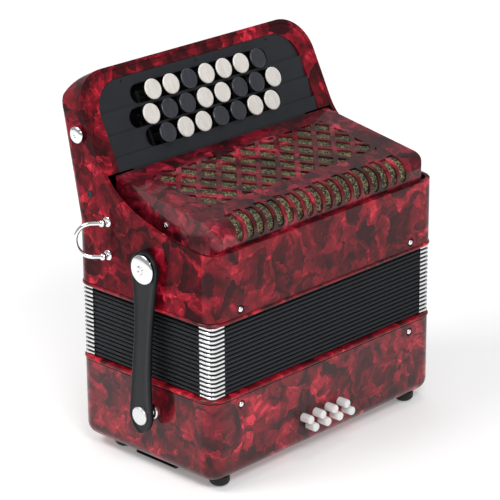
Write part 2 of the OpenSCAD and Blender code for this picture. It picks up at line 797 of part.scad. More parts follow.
for (i = [0:key_total - 1]) seat() treble_key(i);
for (i = [0:7]) seat() bass_button(i);
seat() air_valve();
seat() bass_case();
seat() bass_end_cover();
seat() end_cover_screws();
seat() bass_soundboard();
seat() bass_reed_blocks();
seat() bass_bellows_frame();
seat() bass_frame_pins();
seat() rubber_feet();
seat() hand_strap();
seat() hand_strap_brackets();
seat() snap_studs();
seat() bellows_folds();
seat() bellows_corners();
seat() treble_bellows_frame();
seat() treble_screws();
seat() treble_case();
seat() keyboard_border();
seat() keyboard_panel();
seat() treble_grille();
seat() grille_cloth();
seat() treble_soundboard();
seat() treble_reed_blocks();
seat() key_axle();
seat() axle_posts();
seat() left_bellows_strap();
seat() right_bellows_strap();
seat() left_ring();
seat() right_ring();
seat() strap_fittings();
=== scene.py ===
import math

import bmesh
import bpy
from mathutils import Matrix, Vector


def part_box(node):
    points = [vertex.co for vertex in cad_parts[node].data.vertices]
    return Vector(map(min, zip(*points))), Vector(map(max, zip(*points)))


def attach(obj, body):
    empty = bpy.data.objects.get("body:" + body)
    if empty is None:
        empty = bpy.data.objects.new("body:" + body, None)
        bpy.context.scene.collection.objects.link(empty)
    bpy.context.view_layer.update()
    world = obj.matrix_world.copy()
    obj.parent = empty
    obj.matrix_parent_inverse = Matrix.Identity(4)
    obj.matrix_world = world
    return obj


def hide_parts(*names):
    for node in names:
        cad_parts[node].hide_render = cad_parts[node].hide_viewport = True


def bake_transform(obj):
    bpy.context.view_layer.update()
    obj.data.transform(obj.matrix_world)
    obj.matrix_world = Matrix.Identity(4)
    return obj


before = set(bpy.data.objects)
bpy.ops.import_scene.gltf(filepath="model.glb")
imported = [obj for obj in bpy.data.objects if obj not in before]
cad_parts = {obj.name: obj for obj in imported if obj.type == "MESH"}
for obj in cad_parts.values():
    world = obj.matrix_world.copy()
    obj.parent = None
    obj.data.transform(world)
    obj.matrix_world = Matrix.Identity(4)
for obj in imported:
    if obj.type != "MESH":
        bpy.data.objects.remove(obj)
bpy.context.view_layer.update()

MM = 0.001
X, Y, Z = Vector((1, 0, 0)), Vector((0, 1, 0)), Vector((0, 0, 1))

# ---------------------------------------------------------------- sizes, in mm, as in the CAD

# case and bellows, from the floor up
HALF_W, HALF_D, CORNER_R = 120.0, 69.0, 13.0
FOOT_H, BASS_TOP = 7.8, 69.0
FOLDS, PITCH = 17, 3.24
SEAM, GASKET = 3.1, 0.5
FOLDS_Z0 = BASS_TOP + SEAM
FOLDS_Z1 = FOLDS_Z0 + FOLDS * PITCH
TREBLE_Z = FOLDS_Z1 + SEAM
TREBLE_TOP = TREBLE_Z + 49.5
CASE_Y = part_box("bass_case")[0][1] / MM + HALF_D

# keyboard: the foot of its slope as (y, z), and its buttons row by row
TILT = math.radians(26.5)
BOARD = (35.6, TREBLE_TOP + 34.4)
PANEL_LEN = 64.8
ROW_S, ROW_COUNT, KEY_PITCH = (50.0, 33.3, 17.0), (7, 8, 7), 18.15
WHITE = (1, 1, 0, 1, 1, 1, 0, 1, 0, 0, 1, 1, 0, 0, 1, 0, 1, 1, 0, 0, 1, 1)

# keyboard rim: middle of its corner arcs as (x, s), their radius, and how far the rim stands out
RIM_R, RIM_OUT = 26.0, 0.35
RIM_MID = (HALF_W - 3.6 - RIM_R, 71.0 - RIM_R)

# grille: half width, and where its open ends start
GRILLE_HALF_W = HALF_W - 9.5
GRILLE_END_X = 95.0

# largest radius of the grille's end edges; the screw holes' short edges hold it well under a millimetre
GRILLE_END_R = 3.2

# bass buttons, row by row, and the air button
BASS_ROW_X, BASS_ROW_Z, BASS_PITCH = (-7.0, -1.5), (BASS_TOP - 37.6, BASS_TOP - 45.2), 13.1
AIR_X, AIR_Z = 84.0, BASS_TOP - 30

# shoulder strap rings, studs and plugs on both ends
RING_Y, RING_Z, RING_HALF, RING_REACH, RING_OFF = 34.0, TREBLE_Z + 39, 12.55, 7.0, 4.5
RING_SWING, RING_WIRE_R, BALL_R = math.radians(46), 1.6, 2.9
STUD_Y, STUD_Z = 60.8, BOARD[1] + 26.8
PLUG_Y, PLUG_Z = 50.7, BOARD[1] - 15.4

# bellows straps: pivot, snap, thickness, stand-off, bow, then half widths and the foot's length
STRAP_Y, STRAP_Z, SNAP_Z = -8.5, TREBLE_Z + 28.4, BASS_TOP - 20
STRAP_T, STRAP_OFF, STRAP_BOW = 4.0, 2.8, 6.2
STRAP_HEAD, STRAP_WAIST, STRAP_FOOT, STRAP_TOE = 13.0, 8.3, 11.2, 13.6
DISC_X = HALF_W + STRAP_OFF + STRAP_T + 0.3

# pins, screws and feet
PIN_X, BASS_PIN_Z, TREBLE_PIN_Z = 91.0, BASS_TOP - 6.1, TREBLE_Z + 4.5
GRILLE_SCREW_Y, GRILLE_SCREW_Z = -16.1, TREBLE_TOP + 9.1
BOARD_SCREW_X, BOARD_SCREW_S = 75.0, PANEL_LEN - 2.4
COVER_SCREW_X, COVER_SCREW_Y = 84.0, 50.0
FOOT_X, FOOT_Y = 101.0, (-56.0, 42.0)

# bellows folds: the ridge's outline, the embossing, and the corner caps' reach along each side
RIDGE_IN, RIDGE_R, CAP_REACH = 2.9, 4.5, 14.8
RIDGE_HALF = (HALF_W - RIDGE_IN, HALF_D - RIDGE_IN)
FOLD_TOOTH, FOLD_STEP = 0.45, 1.2
CORNER_STEPS = 9

BOARD_UP = Vector((0, math.sin(TILT), math.cos(TILT)))
BOARD_OUT = Vector((0, -math.cos(TILT), math.sin(TILT)))


def board_point(s, x):
    """A point on the keyboard's face: s up the slope."""
    return Vector((x, *BOARD)) + BOARD_UP * s


# ---------------------------------------------------------------- shader building


class Shader:
    """A material with a Principled surface, built from short calls."""

    def __init__(self, name, **surface):
        self.material = bpy.data.materials.new(name)
        self.material.use_nodes = True
        self.tree = self.material.node_tree
        self.tree.nodes.clear()
        out = self.tree.nodes.new("ShaderNodeOutputMaterial")
        self.surface = self.tree.nodes.new("ShaderNodeBsdfPrincipled")
        self.tree.links.new(self.surface.outputs[0], out.inputs[0])
        self.set(**surface)
        place = self.node("ShaderNodeTexCoord").outputs["Object"]
        self.mm = self.math_v("SCALE", place, scale=1 / MM)

    def plug(self, socket, value):
        """Links an output to the socket, or sets the socket to a number or color."""
        if isinstance(value, bpy.types.NodeSocket):
            self.tree.links.new(value, socket)
        else:
            socket.default_value = value

    def set(self, **inputs):
        """Plugs values into the surface's inputs, whose spaces are written as underscores."""
        for name, value in inputs.items():
            name = {"Specular": "Specular IOR Level"}.get(name, name.replace("_", " "))
            self.plug(self.surface.inputs[name], value)

    def node(self, kind, inputs=None, **settings):
        n = self.tree.nodes.new(kind)
        for name, value in settings.items():
            setattr(n, name, value)
        for name, value in (inputs or {}).items():
            self.plug(n.inputs[name], value)
        return n

    def math(self, op, a, b=0.0):
        return self.node("ShaderNodeMath", {0: a, 1: b}, operation=op).outputs[0]

    def total(self, *terms):
        """The sum of value * factor over the (value, factor) terms."""
        result = 0.0
        for value, factor in terms:
            result = self.math("ADD", result, self.math("MULTIPLY", value, factor))
        return result

    def centred(self, value):
        """A 0 to 1 value moved to -0.5 to 0.5."""
        return self.math("SUBTRACT", value, 0.5)

    def math_v(self, op, a, b=None, scale=None):
        n = self.node("ShaderNodeVectorMath", {0: a}, operation=op)
        if b is not None:
            self.plug(n.inputs[1], b)
        if scale is not None:
            self.plug(n.inputs["Scale"], scale)
        return n.outputs["Value" if op in ("DOT_PRODUCT", "LENGTH") else "Vector"]

    def noise(self, size, vector=None, detail=2.0, distortion=0.0, color=False):
        """Noise whose grain is about size mm."""
        n = self.node("ShaderNodeTexNoise", {"Vector": self.mm if vector is None else vector,
                                             "Scale": 1.0 / size, "Detail": detail,
                                             "Distortion": distortion})
        return n.outputs["Color" if color else "Fac"]

    def cells(self, size, vector=None):
        """Voronoi cells about size mm across."""
        return self.node("ShaderNodeTexVoronoi", {"Vector": self.mm if vector is None else vector,
                                                  "Scale": 1.0 / size})

    def channels(self, color):
        return self.node("ShaderNodeSeparateColor", {0: color}).outputs

    def ramp(self, value, *stops):
        """A color ramp with (position, color) stops."""
        n = self.node("ShaderNodeValToRGB", {"Fac": value})
        elements = n.color_ramp.elements
        for i, (at, color) in enumerate(stops):
            e = elements[i] if i < 2 else elements.new(at)
            e.position = at
            e.color = (*color, 1)
        return n.outputs["Color"]

    def mix(self, factor, a, b):
        """Color a where factor is 0, b where it is 1."""
        n = self.node("ShaderNodeMix", data_type="RGBA")
        self.plug(n.inputs["Factor"], factor)
        for socket, value in ((n.inputs[6], a), (n.inputs[7], b)):
            self.plug(socket, (*value, 1) if isinstance(value, tuple) else value)
        return n.outputs[2]

    def bump(self, height, distance_mm, strength=1.0):
        n = self.node("ShaderNodeBump", {"Height": height, "Distance": distance_mm * MM,
                                         "Strength": strength})
        return n.outputs["Normal"]

    def span(self, value, low, high, to_low, to_high):
        """value's range low to high mapped to to_low to to_high, and clamped there."""
        n = self.node("ShaderNodeMapRange", {"Value": value, "From Min": low, "From Max": high,
                                             "To Min": to_low, "To Max": to_high})
        return n.outputs[0]


# ---------------------------------------------------------------- materials

HALF = (0.5, 0.5, 0.5)


def pearl(name, seed, light=1.0, coat=0.5):
    """Red pearloid: shards of feathered bright red among plain dark ones, under a clear coat; light above 1
    makes a painted-light copy, below 1 a painted-shade copy.
    """
    s = Shader(name, Coat_Weight=coat, Coat_Roughness=0.03, Coat_IOR=1.5, IOR=1.45, Specular=coat * 0.3)
    at = s.math_v("ADD", s.mm, (seed * 37.0, seed * 11.0, seed * 23.0))

    # bent places, so that the shards' outlines curl
    bent = at
    for size, reach in ((30.0, 34.0), (8.0, 9.0)):
        sway = s.math_v("SUBTRACT", s.noise(size, at, 3.0, color=True), HALF)
        bent = s.math_v("ADD", bent, s.math_v("SCALE", sway, scale=reach))

    # large and small shards, each with a tone and a slope of its own
    tones, slopes, way = [], [], None
    for size in (24.0, 11.0):
        shard = s.cells(size, bent)
        way = s.math_v("SUBTRACT", shard.outputs["Color"], HALF)
        across = s.math_v("SUBTRACT", bent, shard.outputs["Position"])
        slopes.append(s.math_v("DOT_PRODUCT", s.math_v("SCALE", across, scale=2 / size), way))
        tones.append(s.centred(s.channels(shard.outputs["Color"])[1]))
    cloud = s.centred(s.noise(16.0, bent, 5.0, 0.6))
    glow = s.total((tones[0], 0.34), (tones[1], 0.26), (s.math("ADD", *slopes), 0.42), (cloud, 1.5))

    # feathering along each small shard's own direction, strong only where it is bright
    beside = s.math_v("CROSS_PRODUCT", way, (0.31, 0.52, 0.79))
    lines = s.node("ShaderNodeCombineXYZ", {0: s.math("MULTIPLY", s.math_v("DOT_PRODUCT", at, way), 0.9),
                                            1: s.math("MULTIPLY", s.math_v("DOT_PRODUCT", at, beside), 0.2)})
    feather = s.math("MULTIPLY", s.centred(s.noise(1.0, lines.outputs[0], 4.0, 1.2)),
                     s.span(glow, -0.15, 0.35, 0.1, 1.0))
    glow = s.math("ADD", glow, s.math("MULTIPLY", feather, 1.5))
    glow = s.math("ADD", s.math("MULTIPLY", glow, 0.85), 0.40)

    # light scales the red: above 1 it is painted light, below 1 painted shade
    color = s.ramp(glow, (0.0, (0.030 * light, 0.0012, 0.0030)), (0.25, (0.085 * light, 0.0022, 0.0060)),
                   (0.50, (0.20 * light, 0.0045, 0.013)), (0.75, (0.38 * light, 0.010, 0.026)),
                   (1.0, (0.68 * light, 0.030, 0.058)))
    s.set(Base_Color=color, Roughness=s.span(glow, 0.2, 0.9, 0.45, 0.30), Normal=s.bump(glow, 0.22, 0.35))
    return s.material


def chrome(name, tone=0.86, rough=0.07):
    """Plated metal with faint smears."""
    s = Shader(name, Metallic=1.0)
    smear = s.noise(3.0, s.math_v("MULTIPLY", s.mm, (1.0, 1.0, 0.3)), 3.0)
    s.set(Base_Color=s.mix(smear, (tone * 0.93, tone * 0.94, tone * 0.96), (tone, tone, tone)),
          Roughness=s.span(smear, 0.3, 0.7, rough, rough * 2.2), Normal=s.bump(smear, 0.01, 0.4))
    return s.material


def brushed(name, tone=0.62):
    """Drawn metal with lines along x."""
    s = Shader(name, Metallic=1.0)
    lines = s.noise(0.35, s.math_v("MULTIPLY", s.mm, (0.06, 1.0, 1.0)), 3.0)
    s.set(Base_Color=s.mix(lines, (tone * 0.8,) * 3, (tone,) * 3),
          Roughness=s.span(lines, 0.2, 0.8, 0.25, 0.45), Normal=s.bump(lines, 0.01, 0.5))
    return s.material


def satin_black(name, color, rough, grain_mm, wear=0.0, coat=0.0):
    """Moulded or painted black with fine grain and faint clouds, whose lighter parts wear lifts a little."""
    s = Shader(name, Specular=0.3, Coat_Weight=coat, Coat_Roughness=0.12)
    cloud, grain = s.noise(22.0, None, 4.0), s.noise(grain_mm, None, 2.0)
    tone = s.mix(cloud, tuple(c * 0.75 for c in color), tuple(c * 1.3 + wear for c in color))
    s.set(Base_Color=tone, Roughness=s.span(cloud, 0.3, 0.7, rough * 0.85, rough * 1.15),
          Normal=s.bump(grain, 0.05, 0.35))
    return s.material


def cap_shade(name, low, high, rough):
    """Button plastic with the faint streaks of its pearl filler."""
    s = Shader(name, Coat_Weight=0.35, Coat_Roughness=0.12, Specular=0.5)
    streak = s.noise(1.5, s.math_v("MULTIPLY", s.mm, (1.0, 0.14, 0.14)), 4.0, 0.8)
    dust = s.noise(9.0, None, 3.0)
    s.set(Base_Color=s.mix(s.span(streak, 0.3, 0.7, 0, 1), low, high),
          Roughness=s.span(dust, 0.3, 0.7, rough * 0.8, rough * 1.25),
          Normal=s.bump(streak, 0.03, 0.2))
    return s.material


def bellows_cloth(name):
    """Black paper leather, embossed across the folds at the pitch of their teeth, with painted shade in the
    dents and a painted highlight on the raised teeth.
    """
    s = Shader(name, Specular=0.3)
    spread = s.node("ShaderNodeSeparateXYZ", {0: s.mm})
    along = s.math("ADD", spread.outputs[0], spread.outputs[1])
    teeth = s.math("SINE", s.math("MULTIPLY", along, math.pi / FOLD_STEP))
    grain = s.noise(0.8, None, 3.0)
    height = s.math("ADD", s.math("MULTIPLY", teeth, 0.5), grain)
    # painted shade and highlight: the colour goes dark in the dents and lighter on the raised teeth
    tone = s.mix(s.span(teeth, -0.6, 0.8, 0, 1), (0.005, 0.0055, 0.0065), (0.036, 0.040, 0.047))
    s.set(Base_Color=s.mix(s.span(grain, 0.3, 0.7, 0, 0.35), tone, (0.02, 0.022, 0.026)),
          Roughness=s.span(grain, 0.3, 0.7, 0.42, 0.6), Normal=s.bump(height, 0.25, 0.8))
    return s.material


def glitter(name):
    """Black cloth behind the grille, woven with gold and green tinsel."""
    s = Shader(name, Specular=0.4)
    thread = s.cells(0.8)
    pick = s.channels(thread.outputs["Color"])
    lit = s.math("GREATER_THAN", pick[0], 0.55)
    tint = s.mix(pick[1], (0.44, 0.38, 0.18), (0.14, 0.19, 0.10))
    weave = s.noise(0.5, None, 2.0)
    s.set(Base_Color=s.mix(lit, (0.012, 0.012, 0.008), tint), Metallic=s.math("MULTIPLY", lit, 0.7),
          Roughness=s.span(weave, 0.2, 0.8, 0.3, 0.6),
          Normal=s.bump(s.math("ADD", thread.outputs["Distance"], weave), 0.5, 0.9))
    return s.material


def wood(name, low, high):
    """Bare wood with its fibres along x."""
    s = Shader(name, Specular=0.3)
    fibre = s.noise(2.4, s.math_v("MULTIPLY", s.mm, (0.06, 1.0, 1.0)), 5.0, 0.6)
    s.set(Base_Color=s.mix(s.span(fibre, 0.3, 0.7, 0, 1), low, high), Roughness=0.6,
          Normal=s.bump(fibre, 0.12, 0.5))
    return s.material


def pale_floor():
    """A near-white floor that glows a little more further out, up to glow_far mm from the object."""
    glow_near, glow_far = 300, 1500
    s = Shader("pale_floor", Roughness=0.9, Specular=0.2)
    s.set(Base_Color=s.mix(s.noise(60.0, None, 2.0), (0.90, 0.90, 0.90), (0.92, 0.92, 0.92)),
          Emission_Color=(1, 1, 1, 1),
          Emission_Strength=s.span(s.math_v("LENGTH", s.mm), glow_near, glow_far, 0.22, 0.50))
    return s.material


RED = pearl("pearl_red", 1, 1.0, 0.28)
# painted shade: the case's red, a little darker and with a thinner coat, for the treble case's ends
RED_CHEEK_SHADED = pearl("pearl_red_cheek_shaded", 1, 0.95, 0.12)
# painted shade: a copy of the pearl red at 0.7, darker for the grille's top
RED_GRILLE_SHADED = pearl("pearl_red_grille_shaded", 2, 0.7)
RED_BASS = pearl("pearl_red_bass", 3)
# painted light: a brighter copy of the pearl red for the bulging bellows frames
RED_FRAME_LIT = pearl("pearl_red_frame_lit", 4, 1.25)
CHROME = chrome("chrome_bright")
CAP_METAL = chrome("corner_cap_metal", 0.74, 0.12)
SILVER = chrome("satin_silver", 0.78, 0.22)
STEEL = brushed("drawn_steel")
PANEL = satin_black("board_charcoal", (0.013, 0.0155, 0.020), 0.30, 0.5, 0.0, 0.25)
STRAP = satin_black("strap_moulded", (0.005, 0.006, 0.008), 0.42, 0.7, 0.001)
RUBBER = satin_black("foot_rubber", (0.010, 0.010, 0.011), 0.6, 0.9, 0.006)
GASKET_MAT = satin_black("gasket_black", (0.006, 0.006, 0.007), 0.7, 0.6)
# near-black painted shade for the faces inside the treble case and the grille
PAINTED_SHADE_INSIDE = satin_black("inside_painted_shade", (0.004, 0.004, 0.005), 0.8, 0.8)
# near-black: painted shade on the key levers seen through the slots, and the board screws' own black
LEVER_SHADE_AND_SCREW_BLACK = satin_black("lever_shade_and_screw_black", (0.008, 0.008, 0.009), 0.5, 0.8)
WHITE_CAP = cap_shade("cap_white", (0.64, 0.60, 0.56), (0.77, 0.74, 0.70), 0.30)
BLACK_CAP = cap_shade("cap_black", (0.012, 0.013, 0.018), (0.034, 0.036, 0.048), 0.34)
BASS_CAP = cap_shade("cap_bass_white", (0.72, 0.72, 0.71), (0.88, 0.88, 0.87), 0.25)
BELLOWS = bellows_cloth("bellows_embossed")
CLOTH = glitter("grille_tinsel")
WOOD = wood("bare_wood", (0.30, 0.17, 0.08), (0.55, 0.38, 0.21))

# ---------------------------------------------------------------- mesh building

# degrees past which an edge is drawn sharp, and past which it is rounded
SMOOTH, ROUNDED = 38, 32


def link(name, data):
    """A new object in the scene."""
    obj = bpy.data.objects.new(name, data)
    bpy.context.scene.collection.objects.link(obj)
    return obj


def in_case(place):
    """A place in metres in the part's frame, as mm in the case's frame."""
    return place / MM - Y * CASE_Y


def add_mesh(name, mesh, material, body, smooth, node=None):
    """A piece from a mesh: smooth up to that angle, riding on body, standing in for node."""
    b = bmesh.new()
    b.from_mesh(mesh)
    bmesh.ops.remove_doubles(b, verts=b.verts, dist=1e-6)
    bmesh.ops.recalc_face_normals(b, faces=b.faces)
    b.to_mesh(mesh)
    b.free()
    mesh.shade_smooth()
    mesh.set_sharp_from_angle(angle=math.radians(smooth))
    mesh.materials.append(material)
    obj = link(name, mesh)
    if body:
        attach(obj, body)
    if node:
        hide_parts(node)
    return obj


def add_piece(name, verts, faces, material, body, smooth, node=None):
    """A piece from points in mm in the case's frame."""
    mesh = bpy.data.meshes.new(name)
    mesh.from_pydata([(v[0] * MM, (v[1] + CASE_Y) * MM, v[2] * MM) for v in verts], [], faces)
    return add_mesh(name, mesh, material, body, smooth, node)


def round_edges(obj, name, width, segments, limit):
    """Rounds obj's edges, picked by angle or by weight, as far as its shortest edges allow."""
    bevel = obj.modifiers.new(name, "BEVEL")
    bevel.width = width * MM
    bevel.segments = segments
    bevel.limit_method = limit
    bevel.angle_limit = math.radians(ROUNDED)
    bevel.use_clamp_overlap = True
    bevel.harden_normals = True


def shell(name, node, width, material, body, segments=2, wide=0.0, wide_edge=None):
    """The CAD node's form with rounded edges; the edges that wide_edge picks get the radius wide."""
    bm = bmesh.new()
    bm.from_mesh(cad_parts[node].data)
    bmesh.ops.remove_doubles(bm, verts=bm.verts, dist=2e-6)
    bmesh.ops.dissolve_limit(bm, angle_limit=math.radians(0.6), verts=bm.verts, edges=bm.edges)
    verts = [v.co.copy() for v in bm.verts]
    faces = [[v.index for v in f.verts] for f in bm.faces]
    bm.free()
    mesh = bpy.data.meshes.new(name)
    mesh.from_pydata(verts, [], faces)
    obj = add_mesh(name, mesh, material, body, SMOOTH, node)
    if wide_edge:
        weights = mesh.attributes.new("bevel_weight_edge", "FLOAT", "EDGE")
        for edge in mesh.edges:
            a, b = (in_case(mesh.vertices[i].co) for i in edge.vertices)
            weights.data[edge.index].value = float(wide_edge(a, b))
        round_edges(obj, "wide_edges", wide, 5, "WEIGHT")
    round_edges(obj, "edges", width, segments, "ANGLE")
    return obj


def paint(obj, material, chosen):
    """Gives the material to the faces chosen by their middle, in mm in the case's frame, and normal."""
    obj.data.materials.append(material)
    for f in obj.data.polygons:
        if chosen(in_case(f.center), f.normal):
            f.material_index = len(obj.data.materials) - 1


def corner_signs(quarter):
    """The signs of x and y in a quarter, counted from +x +y toward -x +y."""
    return (1 if quarter in (0, 3) else -1), (1 if quarter < 2 else -1)


def rect_path(half, radius, offset=0.0, step=0.0):
    """Points of a rounded rectangle grown by offset; step divides its straight sides."""
    counts = [round((side - radius) / step) * 2 if step else 1 for side in half]
    half_x, half_y, radius = half[0] + offset, half[1] + offset, max(radius + offset, 0.4)
    path = []
    for quarter in range(4):
        sx, sy = corner_signs(quarter)
        for i in range(CORNER_STEPS + 1):
            a = math.radians(90 * quarter + 90 * i / CORNER_STEPS)
            path.append(Vector((sx * (half_x - radius) + math.cos(a) * radius,
                                sy * (half_y - radius) + math.sin(a) * radius)))
        end, count = path[-1], counts[quarter % 2]
        a = math.radians(90 * quarter + 90)
        ahead = Vector((-math.sin(a), math.cos(a)))
        side = 2 * ((half_y if quarter % 2 else half_x) - radius)
        path += [end + ahead * (side * i / count) for i in range(1, count)]
    return path


def skin(n, m, base=0, closed=False):
    """Faces over n rows of m points, each row a loop; open rows get an end face at both ends."""
    faces = [(base + i * m + j, base + (i + 1) % n * m + j,
              base + (i + 1) % n * m + (j + 1) % m, base + i * m + (j + 1) % m)
             for i in range(n if closed else n - 1) for j in range(m)]
    if not closed:
        faces += [tuple(base + row * m + j for j in range(m)) for row in (0, n - 1)]
    return faces


def ring_piece(name, profile, material, body, node=None, half=(HALF_W, HALF_D),
               radius=CORNER_R, tooth=0.0, step=0.0):
    """A closed profile of (offset, z) swept round an outline; tooth is the relief of every second step."""
    paths = [rect_path(half, radius, offset, step) for offset, z in profile]
    dents = [rect_path(half, radius, offset - tooth, step) for offset, z in profile]
    n = len(paths[0])
    verts = [(*(dents if i % 2 and tooth else paths)[j][i], z)
             for i in range(n) for j, (offset, z) in enumerate(profile)]
    return add_piece(name, verts, skin(n, len(profile), closed=True), material, body, 50, node)


def lathe(name, profile, origin, axis, material, body, seg=36, node=None):
    """A profile of (radius, height) turned about an axis through origin."""
    side = axis.orthogonal().normalized()
    other = axis.cross(side)
    verts, rows = [], []
    for r, h in profile:
        turn = [0.0] if r == 0 else [2 * math.pi * i / seg for i in range(seg)]
        rows.append(range(len(verts), len(verts) + len(turn)))
        verts += [Vector(origin) + axis * h + (side * math.cos(a) + other * math.sin(a)) * r for a in turn]
    faces = []
    for low, high in zip(rows, rows[1:]):
        for i in range(seg):
            j = (i + 1) % seg
            if len(low) == 1:
                faces.append((low[0], high[i], high[j]))
            elif len(high) == 1:
                faces.append((low[i], low[j], high[0]))
            else:
                faces.append((low[i], low[j], high[j], high[i]))
    faces += [tuple(row) for row in (rows[0], rows[-1]) if len(row) > 1]
    return add_piece(name, verts, faces, material, body, SMOOTH, node)


def tube(name, points, radius, material, body, seg, node=None):
    """A round wire along points, with closed ends."""
    verts, up = [], None
    for i, p in enumerate(points):
        along = (points[min(i + 1, len(points) - 1)] - points[max(i - 1, 0)]).normalized()
        up = (along.orthogonal() if up is None else up - along * up.dot(along)).normalized()
        side = along.cross(up)
        for j in range(seg):
            a = 2 * math.pi * j / seg
            verts.append(p + (up * math.cos(a) + side * math.sin(a)) * radius)
    return add_piece(name, verts, skin(len(points), seg), material, body, 40, node)


# ---------------------------------------------------------------- shells

# how far a normal leans along an axis: squarely, halfway, slightly
SQUARE, HALFWAY, SLIGHT = 0.8, 0.5, 0.2

# the case's inner walls, and what counts as a long or a short edge of the grille
INNER_X, FRONT_WALL_Y = HALF_W - 2.9, -60.0
LONG_EDGE, SHORT_EDGE = 60.0, 4.0


def cheek(c, n):
    """The outer faces of the treble case's two ends."""
    return abs(n.x) > SQUARE and abs(c.x) > HALF_W - 1


def inside_case(c, n):
    """Faces that look into the treble case: ends, undersides, front wall and rear wall."""
    on_board = n.dot(BOARD_OUT) > 0.99
    if abs(c.x) > INNER_X or on_board:
        return False
    inward = -n.x * math.copysign(1, c.x)
    front_or_rear = n.y > SQUARE if c.y < FRONT_WALL_Y else n.y < -SLIGHT
    return inward > SQUARE or n.z < -SLIGHT or front_or_rear


def inside_grille(c, n):
    """Faces that look down, to the rear, or across the grille's open ends."""
    in_open_end = GRILLE_END_X < abs(c.x) < GRILLE_HALF_W - 1
    return (n.z < -HALFWAY or n.y > HALFWAY and abs(n.x) < SLIGHT
            or abs(n.x) > 0.9 and in_open_end)


def grille_end_edge(a, b):
    """Edges of the grille's ends above their foot: the long slope, and the short steps of its nose."""
    at_end = min(abs(a.x), abs(b.x)) > GRILLE_HALF_W - 0.01
    above_foot = min(a.z, b.z) > TREBLE_TOP + 4
    dy, dz = abs(a.y - b.y), abs(a.z - b.z)
    return at_end and above_foot and (dy > LONG_EDGE or dy + dz < SHORT_EDGE)


def push_rim_out(border):
    """Moves the border's rounded rim clear of the case's edge."""
    for v in border.data.vertices:
        place = in_case(v.co) - Vector((0, *BOARD))
        rim = Vector((max(abs(place.x) - RIM_MID[0], 0), max(place.dot(BOARD_UP) - RIM_MID[1], 0)))
        if rim.length > RIM_R - 0.1:
            rim = rim.normalized() * RIM_OUT * MM
            v.co += X * math.copysign(rim[0], place.x) + BOARD_UP * rim[1]


treble = shell("treble_shell", "treble_case", 1.2, RED, "treble_end", 4)
# the treble case's ends get the darker copy of its red, as painted shade
paint(treble, RED_CHEEK_SHADED, cheek)
# painted shade: the faces inside the treble case are made near-black
paint(treble, PAINTED_SHADE_INSIDE, inside_case)
push_rim_out(shell("board_border", "keyboard_border", 0.5, RED, "treble_end"))
shell("board_panel", "keyboard_panel", 0.25, PANEL, "treble_end")
# the grille gets the darker copy of the red, as painted shade
grille = shell("grille_shell", "treble_grille", 0.4, RED_GRILLE_SHADED, "treble_end", 3,
               GRILLE_END_R, grille_end_edge)
# painted shade: the faces inside the grille and across its open ends are made near-black
paint(grille, PAINTED_SHADE_INSIDE, inside_grille)
shell("bass_shell", "bass_case", 0.6, RED_BASS, "bass_end")
shell("bass_cover", "bass_end_cover", 0.6, RED_BASS, "bass_end")

# ---------------------------------------------------------------- bellows

# closed profiles of (offset from the ridge, share of the fold's height)
FOLD_SHAPE = ((-7.0, 0.0), (-2.4, 0.12), (-0.7, 0.22), (-0.1, 0.36), (0.05, 0.5), (-0.1, 0.64),
              (-0.7, 0.78), (-2.4, 0.88), (-7.0, 1.0), (-7.8, 1.0), (-2.8, 0.5), (-7.8, 0.0))
CAP_SHAPE = ((-0.4, 0.16), (0.2, 0.2), (0.52, 0.31), (0.64, 0.5), (0.52, 0.69), (0.2, 0.8), (-0.4, 0.84),
             (-0.6, 0.8), (0.05, 0.68), (0.2, 0.5), (0.05, 0.32), (-0.6, 0.2))

# frames: how far they stand out, how far their edges sit back from that, and how full the curve is
FRAME_OUT, FRAME_BACK, FRAME_FULLNESS = 0.85, 0.9, 2.2
FRAME_DEPTH, GASKET_DEPTH = 11.8, 9.0


def stretch(obj):
    """Bakes obj's placement into its mesh."""
    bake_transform(obj)


def fold(k, z0):
    """One fold."""
    obj = ring_piece(f"fold_{k + 1}", [(o, z0 + t * PITCH) for o, t in FOLD_SHAPE], BELLOWS, None,
                     "bellows_folds", RIDGE_HALF, RIDGE_R, FOLD_TOOTH, FOLD_STEP)
    stretch(obj)


def corner_caps(k, z0):
    """The four metal caps on one fold's corners."""
    verts, faces = [], []
    points = CORNER_STEPS + 1
    for quarter in range(4):
        sx, sy = corner_signs(quarter)
        end_x, end_y = sx * (HALF_W - CAP_REACH), sy * (HALF_D - CAP_REACH)
        rows = []
        for offset, t in CAP_SHAPE:
            arc = rect_path(RIDGE_HALF, RIDGE_R, offset)[quarter * points:(quarter + 1) * points]
            first, last = Vector((arc[0].x, end_y)), Vector((end_x, arc[-1].y))
            if quarter % 2:
                first, last = Vector((end_x, arc[0].y)), Vector((arc[-1].x, end_y))
            rows.append([(*at, z0 + t * PITCH) for at in (first, *arc, last)])
        faces += skin(len(rows[0]), len(rows), len(verts))
        verts += [place for across in zip(*rows) for place in across]
    obj = add_piece(f"corner_caps_{k + 1}", verts, faces, CAP_METAL, None, 30, "bellows_corners")
    stretch(obj)


def bellows_frame(name, node, body, z0, gasket_z):
    """The bulging red frame at one end of the bellows, with its gasket."""
    h = SEAM - GASKET
    bulge = []
    for degrees in range(0, 181, 20):
        level = math.cos(math.radians(degrees))
        bulge.append((FRAME_OUT - FRAME_BACK * abs(level) ** FRAME_FULLNESS, z0 + h / 2 - h / 2 * level))
    # the frame's red is the brighter copy, as painted light
    ring_piece(name, bulge + [(-FRAME_DEPTH, z0 + h), (-FRAME_DEPTH, z0)], RED_FRAME_LIT, body, node)
    ring_piece(name + "_gasket", [(-0.9, gasket_z), (-0.7, gasket_z + GASKET),
                                  (-GASKET_DEPTH, gasket_z + GASKET), (-GASKET_DEPTH, gasket_z)],
               GASKET_MAT, body, node)


